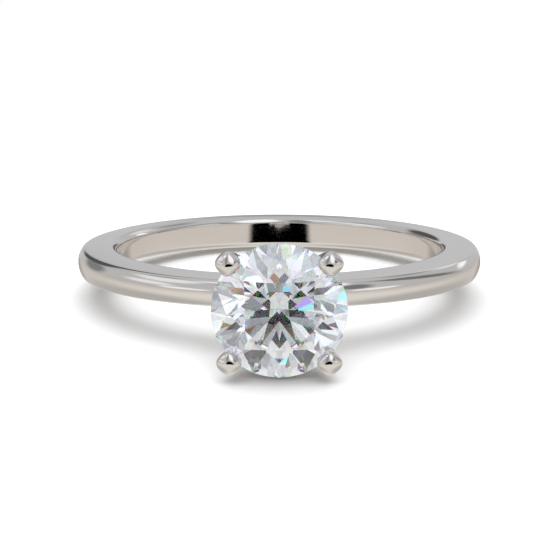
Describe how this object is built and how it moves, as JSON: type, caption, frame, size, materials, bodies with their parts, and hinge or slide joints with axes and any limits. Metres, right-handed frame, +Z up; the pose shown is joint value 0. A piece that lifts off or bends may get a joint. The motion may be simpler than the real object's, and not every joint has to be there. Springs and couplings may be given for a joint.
{
  "type": "engagement ring",
  "caption": "Solitaire engagement ring: a plain domed band that narrows towards a prong-set head holding a round brilliant stone.",
  "frame": {"origin": "centre of the finger hole, midway between the band's two side faces", "axes": "+Z along the finger hole; the stone faces -Y; +X is to the right when the stone is seen from the front with +Z up"},
  "size_m": [0.0204, 0.024, 0.0052],
  "materials": {
    "white_gold": "polished",
    "diamond": "polished"
  },
  "bodies": {
    "root": {"shank": "white_gold", "peg": "white_gold", "collet": "white_gold", "base_ring": "white_gold", "seat_rail": "white_gold", "prong_upper_left": "white_gold", "prong_upper_right": "white_gold", "prong_lower_left": "white_gold", "prong_lower_right": "white_gold", "diamond": "diamond"}
  },
  "joints": []
}
